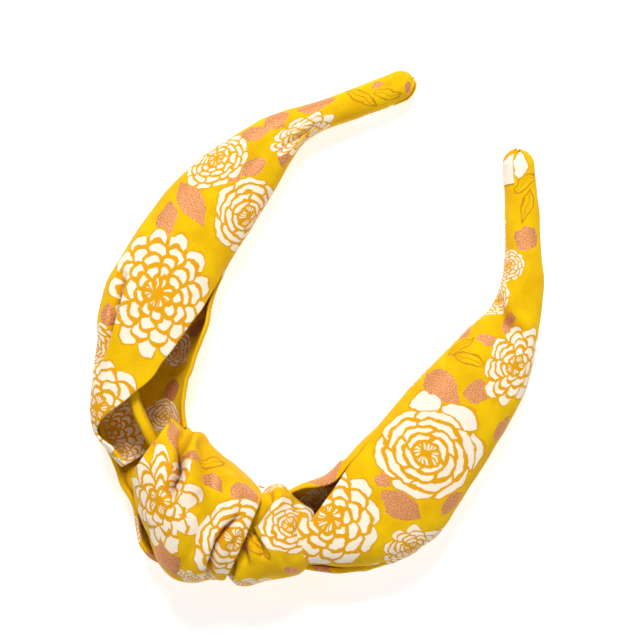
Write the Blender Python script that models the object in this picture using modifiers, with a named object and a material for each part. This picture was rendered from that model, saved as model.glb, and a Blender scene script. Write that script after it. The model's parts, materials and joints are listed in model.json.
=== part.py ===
"""A knotted headband: a springy plastic band in a fabric sleeve, with a wide cotton strip wrapped along it.

The strip is knotted over the crown of the band and folded over both tips. Everything is drawn in the flat
plane of the band's U, x to the right arm, y towards the tips and z across the width of the band. An empty
then lays that plane down on the table, so the band rests on the underside of the knot and on its two tips.
Sizes below are in millimetres and are scaled to metres when the meshes are made.
"""
import math

import bmesh
import bpy
from mathutils import Vector

MM = 0.001

# How the U lies on the table
PLANE_TILT = math.radians(5.1)
PLANE_HEIGHT = 13.6
CENTRE_SHIFT = (0.0, -0.952)

# The band's centreline in the plane of the U, from the left tip round the crown to the right tip
BAND_ROUTE = [
    (-26.5, 89.0), (-39.0, 68.5), (-49.0, 49.5), (-54.5, 26.5), (-55.6, 2.0), (-52.2, -24.0), (-43.0, -46.0),
    (-27.5, -57.5), (-8.0, -64.0), (9.0, -64.0), (26.0, -58.0), (40.0, -44.5), (49.0, -22.0), (52.0, 4.0),
    (50.5, 31.0), (44.5, 55.0), (33.5, 72.5), (20.0, 89.5),
]
ROUTE_STEPS = 24

# Distances along the band, from its crown: negative to the left arm, positive to the right arm
LEFT_FLEX = -27.0
RIGHT_FLEX = 33.0
FLEX_GAP = 0.8
TIP_END = 195.0
FOLD_LENGTH = 14.0
CLEARANCE = 0.3
BAND_SHORT = 6.0

# The plastic band and the fabric sleeve drawn over it
CORE_THICKNESS = 2.0
CORE_WIDTH_CROWN = 10.0
CORE_WIDTH_TIP = 6.4
SLEEVE_WALL = 0.7
SLEEVE_EASE = 0.15

# The wide strip
STRIP_THICKNESS = 1.2
KNOT_THICKNESS = 3.0
INNER_PASS_THICKNESS = 2.4

# Half sizes of the wrapped strip round the band, at distances along each arm:
# (distance, outward, inward, up, angle of the upper edge, angle of the inner rim)
LEFT_WRAP = [
    (28, 12.5, 15.0, 11.0, 8, 162), (40, 13.0, 18.0, 11.0, 22, 163), (50, 12.2, 20.5, 11.0, 75, 164),
    (64, 14.4, 20.8, 11.0, 124, 166), (84, 14.8, 18.6, 10.5, 152, 169), (104, 14.2, 16.4, 9.5, 165, 173),
    (122, 12.2, 13.8, 8.0, 168, 175), (142, 8.8, 8.4, 6.6, 168, 176), (160, 5.0, 4.6, 5.8, 168, 178),
    (179.5, 4.6, 4.8, 5.5, 166, 182),
]
RIGHT_WRAP = [
    (34, 14.0, 13.5, 11.0, 128, 160), (48, 17.0, 15.0, 11.0, 134, 162), (64, 21.8, 17.2, 11.0, 144, 166),
    (82, 19.2, 17.6, 10.5, 158, 171), (106, 16.2, 15.4, 9.5, 165, 174), (126, 13.0, 11.2, 8.0, 168, 175),
    (140, 9.6, 6.4, 6.6, 168, 176), (156, 5.6, 5.4, 5.8, 168, 178), (179.5, 4.4, 5.0, 5.5, 166, 182),
]
WRAP_STATIONS = 26
WRAP_POINTS = 22
WRAP_FULLNESS_BELOW = 1.5
WRAP_LIFT = 0.6

# How far the wraps' ends beside the knot slant along the band, per millimetre outward and inward of it,
# and over how many stations the slant fades: the wraps clear the knot when the arms flex
FLEX_SWEEP_OUT = 0.30
FLEX_SWEEP_IN = 0.13
SWEPT_STATIONS = 6

# Half sizes of the knot's lobes: (distance, outward, inward, up)
FRONT_LOBE = [
    (-24, 10.8, 10.8, 14.2), (-18, 13.6, 14.2, 16.6), (-6, 20.4, 15.0, 18.6), (3, 26.4, 15.0, 19.2),
    (9.5, 24.2, 13.8, 18.8), (17, 19.8, 10.2, 15.8),
]
SECOND_LOBE = [
    (17, 19.0, 10.2, 11.6), (20.5, 20.3, 13.2, 13.6), (24.5, 17.7, 14.4, 15.0), (28, 16.4, 13.8, 14.2),
    (31.5, 14.4, 12.0, 11.8),
]
REAR_PASS = [
    (-20, 17.0, 12.0, 0.0), (-12, 22.8, 13.0, 0.0), (-4, 27.6, 13.0, 0.0), (6, 26.5, 13.0, 0.0),
    (15, 20.0, 12.0, 0.0),
]
INNER_PASS = [(-24, 6.4, 6.2, 8.6), (0, 7.4, 7.0, 9.4), (30, 6.4, 6.2, 8.6)]
FRONT_LOBE_SKEW = 0.47
FRONT_LOBE_ANGLES = (-14, 236)
REAR_PASS_ANGLES = (-112, -20)
SECOND_LOBE_ANGLES = (-96, 250)
INNER_PASS_ANGLES = (-78, 270)
INNER_PASS_STATIONS = 10
INNER_PASS_POINTS = 22
KNOT_SINK = 1.6

# The fold of the strip over each tip, the glue under it, and the thread that tacks the knot
FOLD_STATIONS = (0.0, 0.25, 0.5, 0.72, 0.86, 0.95, 1.0)
FOLD_ROUND_FROM = 0.5
FOLD_ROUND_POWER = 2.4
FOLD_CLOSED = 0.05
FOLD_DROP = 7.0
FOLD_POINTS = 24
FOLD_EASE = 0.25
GLUE_FROM_FOLD_EDGE = 1.0
GLUE_SIZE = (9.0, 0.5, 4.4)
STITCH_RADIUS = 0.3
STITCH_HALF_LENGTH = 1.0
STITCH_HEIGHT = 8.0
STITCH_TURNS = 7
STITCH_AT = 17.2
STITCH_REACH = 12.2


# ---------------------------------------------------------------- the band's route

def through(rows, x):
    """The values of a table at x, on a smooth curve through its rows; the first column is x."""
    last = len(rows) - 1
    i = 0
    while i < last - 1 and x > rows[i + 1][0]:
        i += 1
    a, b = rows[i], rows[i + 1]
    before, after = rows[max(i - 1, 0)], rows[min(i + 2, last)]
    span = b[0] - a[0]
    f = min(max((x - a[0]) / span, 0.0), 1.0)
    values = []
    for k in range(1, len(a)):
        slope_a = (b[k] - before[k]) / (b[0] - before[0]) * span
        slope_b = (after[k] - a[k]) / (after[0] - a[0]) * span
        values.append((2 * f**3 - 3 * f**2 + 1) * a[k] + (f**3 - 2 * f**2 + f) * slope_a
                      + (3 * f**2 - 2 * f**3) * b[k] + (f**3 - f**2) * slope_b)
    return values


def route_points():
    """The band's centreline as closely spaced (distance from the crown, x, y)."""
    rows = [(i, x, y) for i, (x, y) in enumerate(BAND_ROUTE)]
    count = (len(rows) - 1) * ROUTE_STEPS
    points = [Vector(through(rows, i / ROUTE_STEPS)) for i in range(count + 1)]
    travelled = [0.0]
    for a, b in zip(points, points[1:]):
        travelled.append(travelled[-1] + (b - a).length)
    crown = travelled[min(range(count + 1), key=lambda i: points[i].y)]
    return [(d - crown, p.x, p.y) for d, p in zip(travelled, points)]


ROUTE = route_points()


def band_frame(s):
    """Centre, tangent and outward direction of the band at distance s from the crown."""
    centre = Vector(through(ROUTE, s) + [0.0])
    ahead = Vector(through(ROUTE, s + 1.0) + [0.0])
    behind = Vector(through(ROUTE, s - 1.0) + [0.0])
    if s + 1.0 > ROUTE[-1][0]:
        ahead = centre
    if s - 1.0 < ROUTE[0][0]:
        behind = centre
    tangent = (ahead - behind).normalized()
    return centre, tangent, Vector((tangent.y, -tangent.x, 0.0))


def at_band(s, outward, up):
    """A point beside the band; past a tip it carries straight on."""
    end = min(max(s, ROUTE[0][0]), ROUTE[-1][0])
    centre, tangent, normal = band_frame(end)
    return centre + tangent * (s - end) + normal * outward + Vector((0.0, 0.0, up))


def height_above_table(point):
    """How far a point in the plane of the U lies above the table."""
    return PLANE_HEIGHT - point.y * math.sin(PLANE_TILT) + point.z * math.cos(PLANE_TILT)


def rest_on_table(point, lift=0.0):
    """Raises a point that is below the table, so the underside is a flat facet."""
    below = lift - height_above_table(point)
    if below > 0.0:
        point.z += below / math.cos(PLANE_TILT)
    return point


def section_point(out, inward, up, down, angle):
    """A point on an oval round the band: 0 degrees is outward, 90 is up and 180 is inward."""
    c, s = math.cos(math.radians(angle)), math.sin(math.radians(angle))
    return (out if c > 0 else inward) * c, (up if s > 0 else down) * s


# ---------------------------------------------------------------- objects

def material(name, colour, roughness, metallic=0.0):
    made = bpy.data.materials.new(name)
    made.use_nodes = True
    shader = made.node_tree.nodes["Principled BSDF"]
    shader.inputs["Base Color"].default_value = (*colour, 1.0)
    shader.inputs["Roughness"].default_value = roughness
    shader.inputs["Metallic"].default_value = metallic
    return made


def empty(name, location, parent=None):
    made = bpy.data.objects.new(name, None)
    made.location = Vector(location) * MM
    made.parent = parent
    bpy.context.scene.collection.objects.link(made)
    return made


def add_mesh(name, body, finish, fill):
    """One named object on a body's empty; fill(bm) draws it in millimetres in the plane of the U."""
    bm = bmesh.new()
    fill(bm)
    bmesh.ops.recalc_face_normals(bm, faces=bm.faces)
    pivot = body.location if body.parent else Vector((0.0, 0.0, 0.0))
    for vertex in bm.verts:
        vertex.co = vertex.co * MM - pivot
    mesh = bpy.data.meshes.new(name)
    bm.to_mesh(mesh)
    bm.free()
    mesh.materials.append(finish)
    made = bpy.data.objects.new(name, mesh)
    made.parent = body
    headband.objects.link(made)
    return made


def thicken(made, thickness, offset):
    """Gives a sheet its thickness: offset -1 grows it inwards from the drawn face, 1 outwards."""
    solid = made.modifiers.new("thickness", "SOLIDIFY")
    solid.thickness = thickness * MM
    solid.offset = offset
    solid.use_even_offset = True
    return made


def grid_faces(bm, rows, wrap_round=False):
    """Quads between rows of points; wrap_round also joins each row's last point to its first."""
    verts = [[bm.verts.new(p) for p in row] for row in rows]
    across = len(rows[0]) if wrap_round else len(rows[0]) - 1
    for a, b in zip(verts, verts[1:]):
        for j in range(across):
            k = (j + 1) % len(a)
            bm.faces.new((a[j], a[k], b[k], b[j]))
    return verts


def spread(start, end, count):
    return [start + (end - start) * i / (count - 1) for i in range(count)]


# ---------------------------------------------------------------- band and sleeve

def band_half_width(s):
    share = min(abs(s) / TIP_END, 1.0)
    return 0.5 * (CORE_WIDTH_CROWN + (CORE_WIDTH_TIP - CORE_WIDTH_CROWN) * share**1.5)


def rounded_section(half_t, half_w):
    """An oblong with round ends, as (outward, up) pairs."""
    pairs = []
    for side in (1, -1):
        for angle in (0, 30, 60, 90, 120, 150, 180):
            c, s = math.cos(math.radians(angle)), math.sin(math.radians(angle))
            pairs.append((half_t * c * side, side * (half_w - half_t + half_t * s)))
    return pairs


def bar_along(bm, start, end, grow):
    """A solid bar along the band, grown by the given amount all round."""
    rows = []
    for s in spread(start, end, max(int(abs(end - start) / 6), 8)):
        section = rounded_section(CORE_THICKNESS / 2 + grow, band_half_width(s) + grow)
        rows.append([at_band(s, out, up) for out, up in section])
    return grid_faces(bm, rows, wrap_round=True)


def band_spans():
    """The crown and the two arms of the band, with a gap at each flexing point."""
    return [
        ("crown", "crown", LEFT_FLEX + FLEX_GAP, RIGHT_FLEX - FLEX_GAP),
        ("left", "left_arm", -TIP_END + BAND_SHORT, LEFT_FLEX - FLEX_GAP),
        ("right", "right_arm", RIGHT_FLEX + FLEX_GAP, TIP_END - BAND_SHORT),
    ]


def core_bands():
    for side, body, start, end in band_spans():
        def fill(bm, start=start, end=end):
            verts = bar_along(bm, start, end, 0.0)
            bm.faces.new(verts[0])
            bm.faces.new(reversed(verts[-1]))
        add_mesh(f"core_band_{side}", bodies[body], plastic, fill)


def sleeves():
    for side, body, start, end in band_spans():
        def fill(bm, start=start, end=end):
            bar_along(bm, start, end, SLEEVE_EASE)
        made = add_mesh(f"sleeve_{side}", bodies[body], plain_cloth, fill)
        thicken(made, SLEEVE_WALL, 1.0)


# ---------------------------------------------------------------- the wrapped strip

def wrap_rows(table, side):
    """Rows of points of one arm's wrapped strip, from the knot to the fold at the tip."""
    first, last = table[0][0], TIP_END - FOLD_LENGTH - CLEARANCE
    rows = []
    for i, distance in enumerate(spread(first, last, WRAP_STATIONS)):
        out, inward, up, upper_edge, rim = through(table, distance)
        near_knot = max(1.0 - i / SWEPT_STATIONS, 0.0)
        row = []
        for angle in spread(rim, 360 + upper_edge, WRAP_POINTS):
            u, v = section_point(out, inward, up, up, angle)
            sweep = FLEX_SWEEP_OUT * u if u > 0 else -FLEX_SWEEP_IN * u
            skew = FRONT_LOBE_SKEW * u * (1 if side < 0 else 0)
            s = side * (distance + near_knot * sweep) + near_knot * skew
            floor = height_above_table(at_band(s, u, 0.0)) - WRAP_LIFT
            if v < 0:
                down = min(floor, WRAP_FULLNESS_BELOW * up)
                v = section_point(out, inward, up, down, angle)[1]
            row.append(at_band(s, u, v))
        rows.append(row)
    return rows


def wraps():
    for name, body, table, side in (("left_wrap", "left_arm", LEFT_WRAP, -1),
                                    ("right_wrap", "right_arm", RIGHT_WRAP, 1)):
        rows = wrap_rows(table, side)
        made = add_mesh(name, bodies[body], print_cloth, lambda bm: grid_faces(bm, rows))
        thicken(made, STRIP_THICKNESS, 0.0)


# ---------------------------------------------------------------- the knot

def lobe_rows(table, angles, stations, points, skew=0.0):
    """Rows of points of one pass of the strip round the band, flat where it meets the table."""
    rows = []
    for i, s in enumerate(spread(table[0][0], table[-1][0], stations)):
        out, inward, up = through(table, s)
        down = PLANE_HEIGHT - band_frame(s)[0].y * PLANE_TILT + KNOT_SINK
        near_left = 1.0 - i / (stations - 1)
        row = []
        for angle in spread(*angles, points):
            u, v = section_point(out, inward, up, down, angle)
            row.append(rest_on_table(at_band(s + skew * u * near_left, u, v)))
        rows.append(row)
    return rows


def knot():
    """The three visible passes: (name, half sizes, angles, stations along, points round, skew)."""
    passes = [
        ("knot_front_lobe", FRONT_LOBE, FRONT_LOBE_ANGLES, 14, 26, FRONT_LOBE_SKEW),
        ("knot_second_lobe", SECOND_LOBE, SECOND_LOBE_ANGLES, 9, 26, 0.0),
        ("knot_rear_pass", REAR_PASS, REAR_PASS_ANGLES, 9, 14, 0.0),
    ]
    for name, table, angles, stations, points, skew in passes:
        rows = lobe_rows(table, angles, stations, points, skew)
        made = add_mesh(name, bodies["crown"], print_cloth, lambda bm: grid_faces(bm, rows))
        thicken(made, KNOT_THICKNESS, -1.0)


def knot_inner_pass():
    """The hidden pass of the strip that lies against the sleeve, under the lobes."""
    rows = []
    angles = spread(*INNER_PASS_ANGLES, INNER_PASS_POINTS)
    for s in spread(INNER_PASS[0][0], INNER_PASS[-1][0], INNER_PASS_STATIONS):
        out, inward, up = through(INNER_PASS, s)
        rows.append([at_band(s, *section_point(out, inward, up, up, angle)) for angle in angles])
    made = add_mesh("knot_inner_pass", bodies["crown"], print_cloth, lambda bm: grid_faces(bm, rows))
    thicken(made, INNER_PASS_THICKNESS, -1.0)


def knot_tack_stitch():
    """One zigzag of thread across the seam between the lobes, on the side towards the head."""
    curve = bpy.data.curves.new("knot_tack_stitch", "CURVE")
    curve.dimensions = "3D"
    curve.bevel_depth = STITCH_RADIUS * MM
    curve.bevel_resolution = 2
    curve.use_fill_caps = True
    spline = curve.splines.new("POLY")
    spline.points.add(STITCH_TURNS)
    for i, point in enumerate(spline.points):
        side = STITCH_HALF_LENGTH * (1 if i % 2 else -1)
        height = STITCH_HEIGHT * (i / STITCH_TURNS - 0.5)
        place = at_band(STITCH_AT + side, -STITCH_REACH, height) * MM
        point.co = (*place, 1.0)
    made = bpy.data.objects.new("knot_tack_stitch", curve)
    made.parent = bodies["crown"]
    curve.materials.append(thread)
    headband.objects.link(made)


# ---------------------------------------------------------------- the tips

def tip_folds():
    """The end of the strip, folded over each tip of the band like a small closed cup."""
    for name, body, table, side in (("left_tip_fold", "left_arm", LEFT_WRAP, -1),
                                    ("right_tip_fold", "right_arm", RIGHT_WRAP, 1)):
        out, inward, up = table[-1][1:4]

        def fill(bm, out=out, inward=inward, up=up, side=side):
            rows = []
            for part in FOLD_STATIONS:
                into_end = max(part - FOLD_ROUND_FROM, 0.0) / (1.0 - FOLD_ROUND_FROM)
                full = math.sqrt(max(1.0 - into_end ** FOLD_ROUND_POWER, FOLD_CLOSED))
                half_sizes = (out * full, inward * full, up * full, FOLD_DROP * full)
                s = side * (TIP_END - FOLD_LENGTH * (1.0 - part))
                rows.append([rest_on_table(at_band(s, *section_point(*half_sizes, angle)))
                             for angle in spread(0, 360 - 360 / FOLD_POINTS, FOLD_POINTS)])
            verts = grid_faces(bm, rows, wrap_round=True)
            bm.faces.new(verts[-1])
        made = add_mesh(name, bodies[body], print_cloth, fill)
        thicken(made, STRIP_THICKNESS, -1.0)


def glue_pads():
    """A flat smear of glue between the sleeve and the fold, on the side towards the head."""
    length, thick, height = GLUE_SIZE
    start = TIP_END - FOLD_LENGTH + GLUE_FROM_FOLD_EDGE
    corners = ((0.0, -height / 2), (thick, -height / 2), (thick, height / 2), (0.0, height / 2))
    for name, body, side in (("left_tip_glue", "left_arm", -1), ("right_tip_glue", "right_arm", 1)):
        inner = CORE_THICKNESS / 2 + SLEEVE_EASE + SLEEVE_WALL + FOLD_EASE

        def fill(bm, side=side, inner=inner):
            rows = []
            for s in spread(start, start + length, 4):
                rows.append([at_band(side * s, -inner - inward, up) for inward, up in corners])
            verts = grid_faces(bm, rows, wrap_round=True)
            bm.faces.new(verts[0])
            bm.faces.new(reversed(verts[-1]))
        add_mesh(name, bodies[body], glue, fill)


# ---------------------------------------------------------------- assembly

for old in list(bpy.data.objects):
    bpy.data.objects.remove(old, do_unlink=True)

headband = bpy.data.collections.new("knotted_headband")
bpy.context.scene.collection.children.link(headband)

lie_flat = empty("lie_flat", (CENTRE_SHIFT[0], CENTRE_SHIFT[1], PLANE_HEIGHT))
lie_flat.rotation_euler = (-PLANE_TILT, 0.0, 0.0)
bodies = {
    "crown": lie_flat,
    "left_arm": empty("left_flex_axis", band_frame(LEFT_FLEX)[0], lie_flat),
    "right_arm": empty("right_flex_axis", band_frame(RIGHT_FLEX)[0], lie_flat),
}

plastic = material("band_plastic", (0.75, 0.72, 0.62), 0.4)
plain_cloth = material("plain_cloth", (0.86, 0.55, 0.005), 0.85)
print_cloth = material("print_cloth", (0.9, 0.62, 0.02), 0.8)
glue = material("clear_glue", (0.8, 0.76, 0.6), 0.3)
thread = material("yellow_thread", (0.8, 0.5, 0.02), 0.7)

core_bands()
sleeves()
wraps()
knot_inner_pass()
knot()
knot_tack_stitch()
tip_folds()
glue_pads()
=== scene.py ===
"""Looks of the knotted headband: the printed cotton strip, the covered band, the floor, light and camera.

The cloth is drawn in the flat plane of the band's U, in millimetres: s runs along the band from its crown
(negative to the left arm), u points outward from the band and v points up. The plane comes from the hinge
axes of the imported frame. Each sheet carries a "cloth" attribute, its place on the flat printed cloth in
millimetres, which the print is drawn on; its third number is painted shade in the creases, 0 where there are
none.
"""
import json
import math

import bpy
import numpy as np
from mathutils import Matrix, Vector, noise


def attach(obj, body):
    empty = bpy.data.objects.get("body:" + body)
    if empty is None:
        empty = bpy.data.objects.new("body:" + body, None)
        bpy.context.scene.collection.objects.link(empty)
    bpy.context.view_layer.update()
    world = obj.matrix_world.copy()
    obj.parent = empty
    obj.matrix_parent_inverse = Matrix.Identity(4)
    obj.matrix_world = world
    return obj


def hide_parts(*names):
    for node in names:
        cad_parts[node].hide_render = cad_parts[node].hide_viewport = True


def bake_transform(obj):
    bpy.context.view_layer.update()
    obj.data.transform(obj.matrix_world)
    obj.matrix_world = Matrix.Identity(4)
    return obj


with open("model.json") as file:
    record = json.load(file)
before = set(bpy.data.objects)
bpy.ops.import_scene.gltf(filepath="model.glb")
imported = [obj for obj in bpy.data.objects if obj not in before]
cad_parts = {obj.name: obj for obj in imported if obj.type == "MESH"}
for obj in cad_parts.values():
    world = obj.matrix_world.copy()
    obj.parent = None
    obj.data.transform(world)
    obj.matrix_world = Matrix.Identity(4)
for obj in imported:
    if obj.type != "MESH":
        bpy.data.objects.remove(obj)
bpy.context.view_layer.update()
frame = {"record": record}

MM = 0.001

# The band's centreline in the plane of the U, from the left tip round the crown to the right tip
BAND_ROUTE = [
    (-26.5, 89), (-39, 68.5), (-49, 49.5), (-54.5, 26.5), (-55.6, 2), (-52.2, -24), (-43, -46),
    (-27.5, -57.5), (-8, -64), (9, -64), (26, -58), (40, -44.5), (49, -22), (52, 4),
    (50.5, 31), (44.5, 55), (33.5, 72.5), (20, 89.5),
]
TIP_END = 195.0
TIP_ROUND = 6.0
TIP_CLOSED = 0.002
LAST_ROW_GAP = 0.05

# Cloth: its thickness, how far its middle stays above the table, and the height of what lies on the table
CLOTH_THICKNESS = 0.5
TABLE_LIFT = 0.45
LYING_HEIGHT = 0.6

# How finely the sheets are drawn, as rows along the band and columns round it
WRAP_ROWS, WRAP_COLUMNS = 215, 116
FLAP_ROWS, FLAP_COLUMNS = 40, 34
COVER_ROWS, COVER_COLUMNS = 150, 41

# Uneven waves of the cloth: (height, length, step of the seed)
WRAP_WAVES = ((0.55, 17.0, 0.0), (0.22, 6.5, 3.0))
LOBE_WAVES = ((0.7, 12.0, 0.0), (0.25, 5.0, 5.0))
FLAP_WAVES = ((0.3, 5.0, 0.0),)
COVER_WAVES = ((0.18, 5.0, 0.0),)

# How far a tip's flap stands off the wrap, and reaches past it at the very end
FLAP_STANDOFF = 0.55
FLAP_OVERHANG = 0.5

# Creases fade out where the cloth is steep and at their ends. The lip beside one is this many widths of the
# crease away, and this many wide
STEEP_FADE, END_FADE = 1.8, 5.0
LIP_AWAY, LIP_WIDTH = 1.9, 1.3

# The painted shade in creases: the depth from which there is any, over how much more it becomes darkest, and
# the least width
SHADED_FROM, SHADED_RANGE = 0.8, 3.0
SHADE_LEAST_WIDTH = 0.6

# Hems: radius of the fold and length of the cloth turned under
WRAP_HEM = (0.3, 3.0)
LOBE_HEM = (0.7, 3.5)

# The band's cover, an oblong with round edges that gets narrower towards the tips, its thickness, and the
# length of its cloth per radian round the band
COVER_HALF_THICKNESS = 1.95
COVER_HALF_WIDTH = 5.85
COVER_SQUARENESS = (0.6, 0.75)
COVER_TAPER, COVER_TAPER_POWER = 1.75, 1.5
COVER_CLOTH = 0.4
COVER_ARC = 5.0


# ---- the plane of the U and the band's route

def joint(name):
    """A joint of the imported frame's record."""
    return next(j for j in frame["record"]["behaviour"]["joints"] if j["name"] == name)


HINGE = joint("left_flex")
TILT = math.asin(HINGE["axis"][1])
Y_SHIFT = -0.952
PLANE_HEIGHT = HINGE["pos_m"][2] / MM + (HINGE["pos_m"][1] / MM - Y_SHIFT) * math.tan(TILT)


def smooth_rows(rows, x):
    """A table's values at each x, on smooth curves through its rows; the first column is x."""
    rows = np.array(rows, float)
    keys, values = rows[:, 0], rows[:, 1:]
    x = np.clip(np.atleast_1d(np.asarray(x, float)), keys[0], keys[-1])
    slopes = np.gradient(values, keys, axis=0)
    i = np.clip(np.searchsorted(keys, x, side="right") - 1, 0, len(keys) - 2)
    span = (keys[i + 1] - keys[i])[:, None]
    f = (x[:, None] - keys[i][:, None]) / span
    return ((2 * f**3 - 3 * f**2 + 1) * values[i] + (f**3 - 2 * f**2 + f) * span * slopes[i]
            + (3 * f**2 - 2 * f**3) * values[i + 1] + (f**3 - f**2) * span * slopes[i + 1])


def make_route():
    """The band's centreline, closely spaced: distances from the crown, points and tangents."""
    rows = [(i, x, y) for i, (x, y) in enumerate(BAND_ROUTE)]
    points = smooth_rows(rows, np.linspace(0, len(rows) - 1, 1600))
    travelled = np.concatenate([[0.0], np.cumsum(np.linalg.norm(np.diff(points, axis=0), axis=1))])
    travelled -= travelled[np.argmin(points[:, 1])]
    tangents = np.gradient(points, axis=0)
    tangents /= np.linalg.norm(tangents, axis=1)[:, None]
    return travelled, points, tangents


ROUTE_S, ROUTE_POINTS, ROUTE_TANGENTS = make_route()


def band_frame(s):
    """Centres, tangents and outward directions of the band, for an array of distances."""
    s = np.asarray(s, float)
    held = np.clip(s, ROUTE_S[0], ROUTE_S[-1])
    centre = np.stack([np.interp(held, ROUTE_S, ROUTE_POINTS[:, k]) for k in (0, 1)], axis=-1)
    tangent = np.stack([np.interp(held, ROUTE_S, ROUTE_TANGENTS[:, k]) for k in (0, 1)], axis=-1)
    tangent /= np.linalg.norm(tangent, axis=-1)[..., None]
    centre = centre + tangent * (s - held)[..., None]
    normal = np.stack([tangent[..., 1], -tangent[..., 0]], axis=-1)
    return centre, tangent, normal


def at_band(s, u, v):
    """Points of the plane of the U, from arrays of distances along, outward from and above the band."""
    s, u, v = np.broadcast_arrays(np.asarray(s, float), np.asarray(u, float), np.asarray(v, float))
    centre, _, normal = band_frame(s)
    flat = centre + normal * u[..., None]
    return np.concatenate([flat, v[..., None]], axis=-1)


def to_world(points):
    """From the plane of the U, in millimetres, to the frame, in metres."""
    c, s = math.cos(TILT), math.sin(TILT)
    x, y, z = points[..., 0], points[..., 1], points[..., 2]
    return np.stack([x, y * c + z * s + Y_SHIFT, z * c - y * s + PLANE_HEIGHT], axis=-1) * MM


def above_table(points):
    """Heights above the table, in millimetres, of points in the plane of the U."""
    return to_world(points)[..., 2] / MM


def rest_on_table(points, lift):
    """Raises what is below the table, so cloth lies on it."""
    low = np.maximum(lift - above_table(points), 0.0)
    points[..., 2] += low / math.cos(TILT)
    return points


# ---- sheets of cloth

def normals(grid):
    """Unit normals of a grid of points."""
    across = np.gradient(grid, axis=1)
    along = np.gradient(grid, axis=0)
    found = np.cross(along, across)
    return found / np.maximum(np.linalg.norm(found, axis=-1), 1e-9)[..., None]


def distance_to_line(points, line):
    """Distance of plan points to a polyline, and how far along it they are, from 0 to 1."""
    line = np.array(line, float)
    best = np.full(points.shape[:-1], 1e9)
    share = np.zeros(points.shape[:-1])
    side = np.zeros(points.shape[:-1])
    for k, (a, b) in enumerate(zip(line, line[1:])):
        step = b - a
        f = np.clip(((points - a) @ step) / (step @ step), 0.0, 1.0)
        offset = points - a - f[..., None] * step
        away = np.linalg.norm(offset, axis=-1)
        turn = np.sign(step[0] * offset[..., 1] - step[1] * offset[..., 0])
        closer = away < best
        best = np.where(closer, away, best)
        share = np.where(closer, (k + f) / (len(line) - 1), share)
        side = np.where(closer, turn, side)
    return best, share, side


def press_creases(grid, cloth, centre_v, creases):
    """Presses valleys into a sheet's upper side; each crease is (plan line, depth, width, lip).

    The third number of a cloth place becomes how much painted shade the point gets for lying deep in a
    crease, from 0 to 1.
    """
    outward = normals(grid)
    outward *= np.where(outward[..., 2:] < 0, -1.0, 1.0)
    facing_up = np.clip(STEEP_FADE * outward[..., 2], 0.0, 1.0) * (grid[..., 2] > centre_v)
    folded = np.zeros(grid.shape[:-1])
    for line, depth, width, lip in creases:
        away, share, side = distance_to_line(grid[..., :2], line)
        fade = np.clip(np.minimum(share, 1.0 - share) * END_FADE, 0.0, 1.0) ** 0.5
        valley = np.exp(-(away / width) ** 2) * depth
        rise = np.exp(-((away - LIP_AWAY * width) / (LIP_WIDTH * width)) ** 2) * lip * (side > 0)
        grid = grid + outward * (facing_up * (rise - valley) * fade)[..., None]
        # Painted shade at the bottom of this crease, darker for deeper creases
        shade = np.clip((depth - SHADED_FROM) / SHADED_RANGE, 0.0, 1.0)
        shade_width = max(0.5 * width, SHADE_LEAST_WIDTH)
        shade = shade * np.exp(-(away / shade_width) ** 2)
        folded = np.maximum(folded, shade * fade * facing_up)
    return grid, np.concatenate([cloth, folded[..., None]], axis=-1)


def ruffle(grid, waves, seed):
    """Soft uneven waves, so no stretch of cloth is a perfect surface."""
    for height, length, step in waves:
        outward = normals(grid)
        shift = Vector((seed + step, 0.0, 0.0))
        rise = np.array([noise.noise(Vector(p / length) + shift) for p in grid.reshape(-1, 3)])
        grid = grid + outward * (rise.reshape(grid.shape[:-1]) * height)[..., None]
    return grid


def turn_under(grid, cloth, radius, length, outside):
    """Folds a sheet's last column under, away from the side that `outside` points to."""
    edge, before = grid[:, -1], grid[:, -3]
    onward = edge - before
    onward /= np.linalg.norm(onward, axis=-1)[:, None]
    up = outside - onward * np.sum(outside * onward, axis=-1)[:, None]
    up /= np.linalg.norm(up, axis=-1)[:, None]
    columns, places = [], []
    step = cloth[:, -1] - cloth[:, -3]
    step[:, 2:] = 0.0
    step /= np.maximum(np.linalg.norm(step, axis=-1), 1e-9)[:, None]
    for angle in np.radians([30, 60, 90, 120, 150, 180]):
        columns.append(edge + onward * radius * math.sin(angle) - up * radius * (1 - math.cos(angle)))
        places.append(cloth[:, -1] + step * radius * angle)
    for back in np.linspace(0.25, 1.0, 4) * length:
        columns.append(edge - onward * back - up * 2 * radius)
        places.append(cloth[:, -1] + step * (radius * math.pi + back))
    return (np.concatenate([grid, np.stack(columns, 1)], axis=1),
            np.concatenate([cloth, np.stack(places, 1)], axis=1))


def hem(grid, cloth, side, size, centre):
    """Folds one side of a sheet under, towards centre: the first or last row, or the first or last column."""
    flip = {"last_column": (False, False), "first_column": (True, False),
            "last_row": (False, True), "first_row": (True, True)}[side]
    backward, rows = flip
    turned = (lambda a: np.swapaxes(a, 0, 1)) if rows else (lambda a: a)
    g, c = turned(grid), turned(cloth)
    if backward:
        g, c = g[:, ::-1], c[:, ::-1]
    g, c = turn_under(g, c, *size, outside=g[:, -1] - centre)
    if backward:
        g, c = g[:, ::-1], c[:, ::-1]
    return turned(g), turned(c)


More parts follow.
